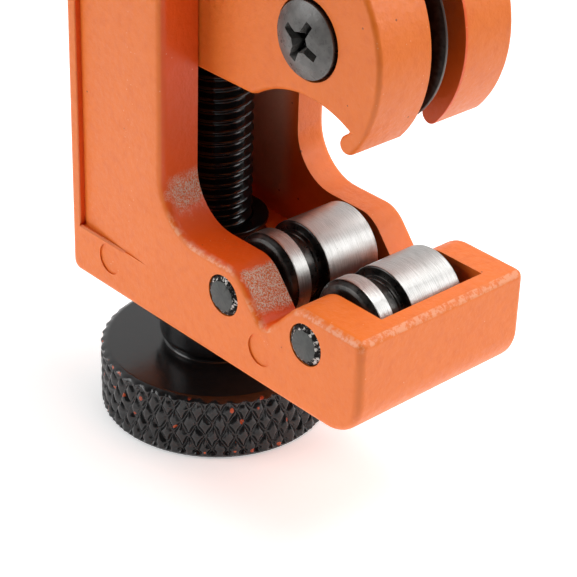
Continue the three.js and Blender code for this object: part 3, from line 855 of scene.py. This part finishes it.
def cross_pin(name, radius, material, slot, ride):
    """A round pin at an eighth of a turn, whose domed ends stand a little proud of the hub."""
    low, high = mm_box(name)
    half = math.hypot(high.x, high.y) - radius * math.sqrt(0.5) * 0.6
    profile = rounded([(0, -half), (radius, -half), (radius, half), (0, half)], radius * 0.35)
    body = revolve(name + "_domed", profile, 48)
    body.data.shade_smooth()
    moved(body, Matrix.Translation((0, 0, (low.z + high.z) / 2)) @ Matrix.Rotation(math.pi / 4, 4, "Z")
          @ Matrix.Rotation(math.pi / 2, 4, "Y"))
    piece(body, [material], ride, slot, name)


def screw_collar():
    """The thin flange that holds the screw down on the frame's floor, on a smaller hub."""
    low, high = mm_box("screw_collar")
    hub, flange = COLLAR["hub"], high.z - COLLAR["flange"]
    profile = [(BORE, low.z), (hub, low.z), (hub, flange)]
    profile += [(high.x, flange), (high.x, high.z), (BORE, high.z)]
    body = revolve("screw_collar_turned", rounded(profile, 0.14, 4, closed=True), 128)
    smooth(body)
    piece(body, [SCREW_BLACK], "screw_body", "black_oxide", "screw_collar")


# ---------------------------------------------------------------- cutter slide


def slide_outline(back):
    """The slide seen from its side: flat underside, pipe arch, hooked nose and round head."""
    centre_z = ARCH["apex"] - ARCH["radius"]
    bottom, top = SLIDE_BOTTOM, SLIDE_HIGH.z
    reach = HEAD["radius"] - NOSE["radius"]
    lean = math.radians(NOSE["angle"])
    nose_x, nose_z = HEAD["x"] + reach * math.cos(lean), HEAD["z"] + reach * math.sin(lean)

    def arch_angle(x):
        return math.degrees(math.acos((x - ARCH["x"]) / ARCH["radius"]))

    points = [(back, bottom), (ARCH["start"] - 0.5, bottom)]
    start, end = arch_angle(ARCH["start"]), arch_angle(NOSE["arch_end"])
    points += arc(ARCH["x"], centre_z, ARCH["radius"], start, end, 20)
    points += arc(nose_x, nose_z, NOSE["radius"], 108, 360 + NOSE["angle"], 14)
    points += arc(HEAD["x"], HEAD["z"], HEAD["radius"], NOSE["angle"], 90, 36)
    points += [(back, top)]
    return without_repeats(points)


def slide_casting():
    near, far, z_far = SLIDE_LOW.y, SLIDE_HIGH.y, 60
    body = plate("slide_casting", slide_outline(SLIDE_LOW.x), near, far)
    soften(body, 0.45, 4, clamp=False)
    boolean(body, block((-20, SLIDE_TONGUE_FAR, 0), (SLIDE_HEAD_BACK, far + 1, z_far)))
    run, rise = SEAT_CHAMFER
    flat = SLIDE_BOTTOM
    clear = [(0, flat - 2), (SLIDE_HEAD_BACK + run, flat - 2), (SLIDE_HEAD_BACK + run, flat),
             (SLIDE_HEAD_BACK, flat + rise), (0, flat + rise)]
    boolean(body, plate("seat_clearance", clear, SLIDE_TONGUE_FAR, far + 1))
    boolean(body, block((SLOT["back"], SLOT["near"], 0), (40, SLOT["far"], z_far)))
    boolean(body, rod(SLIDE_BORE, 0, z_far, 96))
    corner = NUT_POCKET["across_flats"] / math.sqrt(3)
    for cutter in (rod(AXLE_HOLE, near - 1, far + 1),
                   rod(COUNTERBORE["radius"], near - 1, COUNTERBORE["seat"], 96),
                   rod(corner, NUT_POCKET["floor"], far + 1, 6)):
        boolean(body, turn_to_y(cutter, WHEEL_X, WHEEL_Z))
    soften(body, 0.12, 2)
    smooth(body)
    piece(body, [SLIDE_ENAMEL], "slide_body", "orange_enamel", "cutter_slide")


def thrust_washer():
    low, high = mm_box("thrust_washer")
    ring_piece("thrust_washer", BORE, high.x, low.z, high.z, SMALL_BLACK, "screw_body", "black_oxide")


def slide_nut():
    low, high = mm_box("slide_nut")
    ring_piece("slide_nut", BORE, high.x, low.z, high.z, BRASS, "slide_body", "brass")


# ---------------------------------------------------------------- wheel and its fasteners


def across_ring(name, size, material, ride, slot):
    """A washer or bush on the wheel's axis, between the faces of its CAD node."""
    low, high = mm_box(name)
    inner, outer = size["bore"], size["radius"]
    profile = rounded([(inner, low.y), (outer, low.y), (outer, high.y), (inner, high.y)], 0.08, closed=True)
    body = revolve(name + "_turned", profile, 96)
    smooth(body)
    turn_to_y(body, WHEEL_X, WHEEL_Z)
    piece(body, [material], ride, slot, name)


def cutter_wheel():
    radius = WHEEL_HIGH.z - WHEEL_Z
    hub, half_hub, half_web = WHEEL["hub"], WHEEL_HIGH.y - WHEEL_Y, WHEEL["half_web"]
    side = [(WHEEL["bore"], -half_hub), (hub - 0.1, -half_hub), (hub, -half_hub + 0.1)]
    side += [(hub + 0.1, -half_web), (WHEEL["bevel"], -half_web), (radius - 0.3, -0.16), (radius, -0.03)]
    profile = side + [(r, -y) for r, y in reversed(side)]
    body = revolve("cutter_wheel_ground", profile, 160)
    smooth(body)
    turn_to_y(body, WHEEL_X, WHEEL_Z)
    moved(body, Matrix.Translation((0, WHEEL_Y, 0)))
    piece(body, [WHEEL_STEEL], "wheel_body", "tool_steel", "cutter_wheel")


def tapering_block(top, bottom, y_top, y_bottom):
    """A block between two rectangles of half sizes (x, z), square to the Y axis."""
    bm = bmesh.new()
    corners = ((-1, -1), (1, -1), (1, 1), (-1, 1))
    rims = [[bm.verts.new((x * half[0], y, z * half[1])) for x, z in corners]
            for half, y in ((top, y_top), (bottom, y_bottom))]
    bm.faces.new(rims[0])
    bm.faces.new(reversed(rims[1]))
    for i in range(4):
        after = (i + 1) % 4
        bm.faces.new((rims[0][i], rims[0][after], rims[1][after], rims[1][i]))
    return new_object("tapering_block", bm)


def recess_cutters(head_y):
    """The two tapering wings of a crosshead recess, and the flare where they cross."""
    depth, above = 1.35, 0.3
    reach, half_wide, flare = 2.2, 0.4, 0.95
    for turn in (0, 90):
        bottom = (reach * 0.5, half_wide * 0.6)
        yield tapering_block((reach, half_wide), bottom, head_y - above, head_y + depth), turn
    yield tapering_block((flare, flare), (0.3, 0.3), head_y - above, head_y + depth), 45


def wheel_screw():
    """The domed crosshead screw that is the wheel's axle."""
    low, high = mm_box("wheel_screw")
    head, shank, dome = SCREW_DOME["radius"], 1.5, SCREW_DOME["height"]
    cap = (head * head + dome * dome) / (2 * dome)
    lean = math.asin(head / cap)
    steps = 14
    angles = [lean * i / steps for i in range(steps + 1)]
    crown = [(cap * math.sin(angle), low.y + cap * (1 - math.cos(angle))) for angle in angles]
    under, chamfer = COUNTERBORE["seat"] - 0.05, 0.3
    profile = crown + [(head, under), (shank, under), (shank, high.y - chamfer)]
    profile += [(shank - chamfer, high.y), (0, high.y)]
    body = revolve("wheel_screw_domed", profile, 120)
    turn_to_y(body, WHEEL_X, WHEEL_Z)
    for cutter, turn in recess_cutters(low.y):
        turned = Matrix.Rotation(math.radians(SCREW_DOME["recess_turn"] + turn), 4, "Y")
        boolean(body, moved(cutter, Matrix.Translation((WHEEL_X, 0, WHEEL_Z)) @ turned))
    soften(body, 0.05, 2, 40)
    smooth(body)
    piece(body, [HEAD_BLACK], "slide_body", "black_oxide", "wheel_screw")


def wheel_nut():
    low, high = mm_box("wheel_nut")
    flat = NUT_ACROSS_FLATS / 2
    body = turn_to_y(rod(NUT_ACROSS_FLATS / math.sqrt(3), low.y, high.y, 6), WHEEL_X, WHEEL_Z)
    chamfer = [(0, low.y - 1), (flat + 0.75, low.y - 1), (flat + 0.75, high.y - 0.55),
               (flat - 0.1, high.y + 0.02), (0, high.y + 0.02)]
    boolean(body, turn_to_y(revolve("chamfer", chamfer, 96), WHEEL_X, WHEEL_Z), "INTERSECT")
    boolean(body, turn_to_y(rod(AXLE_HOLE - 0.02, low.y - 1, high.y + 1), WHEEL_X, WHEEL_Z))
    soften(body, 0.08, 2)
    smooth(body)
    body.name = "wheel_nut_hexagon"
    piece(body, [SMALL_BLACK], "slide_body", "black_oxide", "wheel_nut")


# ---------------------------------------------------------------- camera, light and floor


# Angles in degrees, place and lens in millimetres.
CAMERA = {"azimuth": 47.0, "elevation": 30.28, "roll": 1.88, "place": (115.0, -98.6, 99.85),
          "lens": 123.45, "sensor": 36.0}


def photo_camera():
    """The camera at the photograph's viewing angle."""
    azimuth, elevation, roll = (math.radians(CAMERA[key]) for key in ("azimuth", "elevation", "roll"))
    place = Vector(CAMERA["place"]) * MM
    forward = Vector((-math.sin(azimuth) * math.cos(elevation), math.cos(azimuth) * math.cos(elevation),
                      -math.sin(elevation)))
    level = Vector((math.cos(azimuth), math.sin(azimuth), 0))
    upright = level.cross(forward)
    right = level * math.cos(roll) + upright * math.sin(roll)
    up = upright * math.cos(roll) - level * math.sin(roll)
    data = bpy.data.cameras.new("camera")
    data.sensor_width = CAMERA["sensor"]
    data.lens = CAMERA["lens"]
    data.clip_start = 0.005
    camera = bpy.data.objects.new("camera", data)
    bpy.context.scene.collection.objects.link(camera)
    turn = Matrix((right, up, -forward)).transposed().to_4x4()
    camera.matrix_world = Matrix.Translation(place) @ turn
    bpy.context.scene.camera = camera


DARK_SIDE = (0.63, -0.59, 0.50)      # direction of the studio's dark side, where the camera stands
POOL_CENTRE = (-21, 28, -LIFT / MM)  # middle of the bright floor, in millimetres
POOL_RADIUS = 85
AIM = Vector((0.008, 0, 0.03))       # the softboxes face this point, in metres


def area_light(name, place, size, power):
    data = bpy.data.lights.new(name, "AREA")
    data.shape = "RECTANGLE"
    data.size, data.size_y = size
    data.energy = power
    light = bpy.data.objects.new(name, data)
    bpy.context.scene.collection.objects.link(light)
    turn = (AIM - Vector(place)).to_track_quat("-Z", "Y").to_matrix().to_4x4()
    light.matrix_world = Matrix.Translation(place) @ turn


def studio():
    """A pale studio that is darker on the camera's side, with softboxes to the left, right and above."""
    world = bpy.data.worlds.new("studio")
    world.use_nodes = True
    nodes, links = world.node_tree.nodes, world.node_tree.links
    toward = nodes.new("ShaderNodeVectorMath")
    toward.operation = "DOT_PRODUCT"
    toward.inputs[1].default_value = DARK_SIDE
    links.new(nodes.new("ShaderNodeTexCoord").outputs["Generated"], toward.inputs[0])
    strength = nodes.new("ShaderNodeMapRange")
    strength.interpolation_type = "SMOOTHSTEP"
    for key, number in (("From Min", -0.2), ("From Max", 0.6), ("To Min", 0.88), ("To Max", 0.04)):
        strength.inputs[key].default_value = number
    links.new(toward.outputs["Value"], strength.inputs["Value"])
    background = nodes["Background"]
    background.inputs["Color"].default_value = (1, 1, 1, 1)
    links.new(strength.outputs["Result"], background.inputs["Strength"])
    bpy.context.scene.world = world
    area_light("left_softbox", (-0.235, -0.335, 0.19), (0.26, 0.30), 0.93)
    area_light("right_softbox", (0.32, 0.25, 0.24), (0.20, 0.26), 0.62)
    area_light("back_softbox", (0.12, 0.10, 0.42), (0.30, 0.16), 1.1)


def floor():
    """Pale paper that glows white under the object and falls off to grey away from it."""
    bm = bmesh.new()
    reach = 3.0
    bm.faces.new([bm.verts.new((x * reach, y * reach, 0)) for x, y in ((-1, -1), (1, -1), (1, 1), (-1, 1))])
    body = new_object("floor", bm)
    s = Shader("white_paper", Roughness=0.9)
    away = s.node("VectorMath", {"operation": "DISTANCE"})
    s.links.new(s.place, away.inputs[0])
    away.inputs[1].default_value = POOL_CENTRE
    glow = s.step(away.outputs["Value"], POOL_RADIUS, 2 * POOL_RADIUS, 1.0, 0.0)
    s.surface.inputs["Emission Color"].default_value = (1, 1, 1, 1)
    tone = s.mix(s.noise(0.02, 2.0), (0.91, 0.91, 0.91, 1), (0.94, 0.94, 0.94, 1))
    color = s.mix(glow, (0.45, 0.45, 0.45, 1), tone)
    body.data.materials.append(s.wire(Base_Color=color, Emission_Strength=s.math("MULTIPLY", glow, 0.44)))


# ---------------------------------------------------------------- the whole scene

bpy.context.scene.view_settings.view_transform = "Standard"
photo_camera()
studio()
floor()

frame_casting()
bushes()
for place in ROLLER_X:
    roller_pin(place)
    roller(place)
feed_screw()
knob()
cross_pin("knob_pin", KNOB_PIN_RADIUS, PIN_STEEL, "pin_steel", "screw_body")
thrust_washer()
screw_collar()
slide_casting()
slide_nut()
cutter_wheel()
across_ring("wheel_bush", WHEEL_BUSH, ROLLER_STEEL, "slide_body", "roller_steel")
for side in ("near", "far"):
    across_ring("wheel_washer_" + side, WHEEL_WASHER, ROLLER_STEEL, "slide_body", "roller_steel")
across_ring("wheel_lock_washer", LOCK_WASHER, SMALL_BLACK, "slide_body", "black_oxide")
wheel_screw()
wheel_nut()
